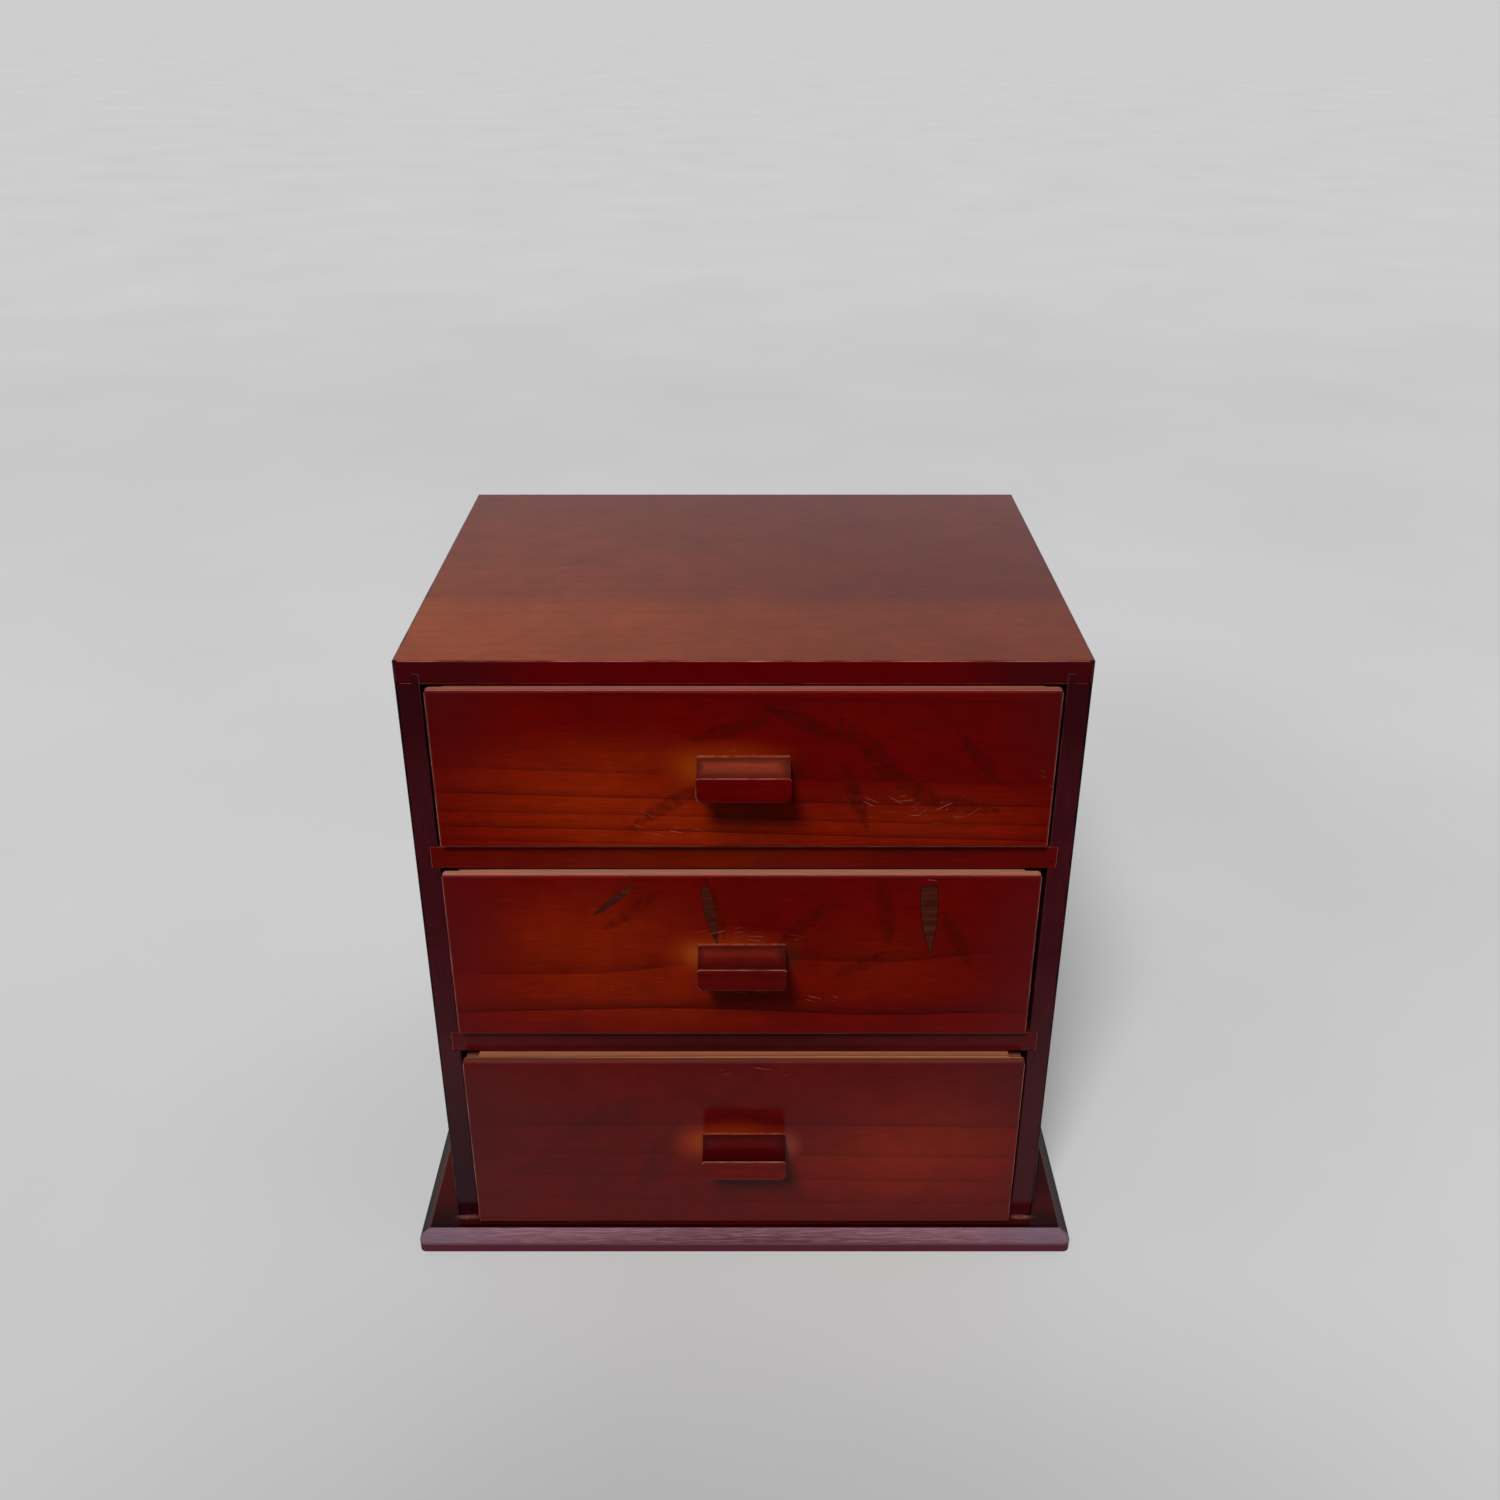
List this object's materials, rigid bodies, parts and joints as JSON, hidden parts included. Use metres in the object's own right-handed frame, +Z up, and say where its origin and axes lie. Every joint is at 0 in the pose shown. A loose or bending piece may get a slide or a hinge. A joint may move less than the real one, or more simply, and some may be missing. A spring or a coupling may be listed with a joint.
{
  "type": "tansu chest",
  "caption": "Small tabletop wooden chest with graduated sliding drawers, scooped wooden pulls and a wider chamfered base board.",
  "frame": {"origin": "middle of the base board's underside, on the surface that the chest stands on", "axes": "+X to the right seen from the front, +Y from the front to the back, +Z up"},
  "size_m": [0.3398, 0.2595, 0.3313],
  "materials": {
    "lacquered_wood": "dark red-brown stained wood under semi-gloss lacquer",
    "drawer_front_wood": "red-brown stained wood shaded to orange-brown, semi-gloss lacquer",
    "pull_wood": "red-brown stained wood, semi-gloss lacquer, rubbed at the edges",
    "plain_wood": "unfinished pale softwood",
    "plywood": "unfinished thin plywood",
    "steel": "dull plain steel"
  },
  "bodies": {
    "carcase": {"base_board": "lacquered_wood", "left_side_panel": "lacquered_wood", "right_side_panel": "lacquered_wood", "top_board": "lacquered_wood", "upper_divider": "lacquered_wood", "lower_divider": "lacquered_wood", "back_panel": "plywood", "base_screws": "steel", "back_panel_nails": "steel"},
    "top_drawer": {"top_drawer_front": "drawer_front_wood", "top_drawer_left_side": "plain_wood", "top_drawer_right_side": "plain_wood", "top_drawer_back": "plain_wood", "top_drawer_bottom_panel": "plywood", "top_drawer_pull": "pull_wood", "top_drawer_pull_screws": "steel", "top_drawer_corner_nails": "steel", "top_drawer_bottom_nails": "steel"},
    "middle_drawer": {"middle_drawer_front": "drawer_front_wood", "middle_drawer_left_side": "plain_wood", "middle_drawer_right_side": "plain_wood", "middle_drawer_back": "plain_wood", "middle_drawer_bottom_panel": "plywood", "middle_drawer_pull": "pull_wood", "middle_drawer_pull_screws": "steel", "middle_drawer_corner_nails": "steel", "middle_drawer_bottom_nails": "steel"},
    "bottom_drawer": {"bottom_drawer_front": "drawer_front_wood", "bottom_drawer_left_side": "plain_wood", "bottom_drawer_right_side": "plain_wood", "bottom_drawer_back": "plain_wood", "bottom_drawer_bottom_panel": "plywood", "bottom_drawer_pull": "pull_wood", "bottom_drawer_pull_screws": "steel", "bottom_drawer_corner_nails": "steel", "bottom_drawer_bottom_nails": "steel"}
  },
  "joints": [
    {"name": "top_drawer_slide", "type": "slide", "parent": "carcase", "child": "top_drawer", "axis": [0, -1, 0], "range_m": [-0.0015, 0.1535]},
    {"name": "middle_drawer_slide", "type": "slide", "parent": "carcase", "child": "middle_drawer", "axis": [0, -1, 0], "range_m": [-0.002, 0.153]},
    {"name": "bottom_drawer_slide", "type": "slide", "parent": "carcase", "child": "bottom_drawer", "axis": [0, -1, 0], "range_m": [-0.005, 0.15]}
  ]
}
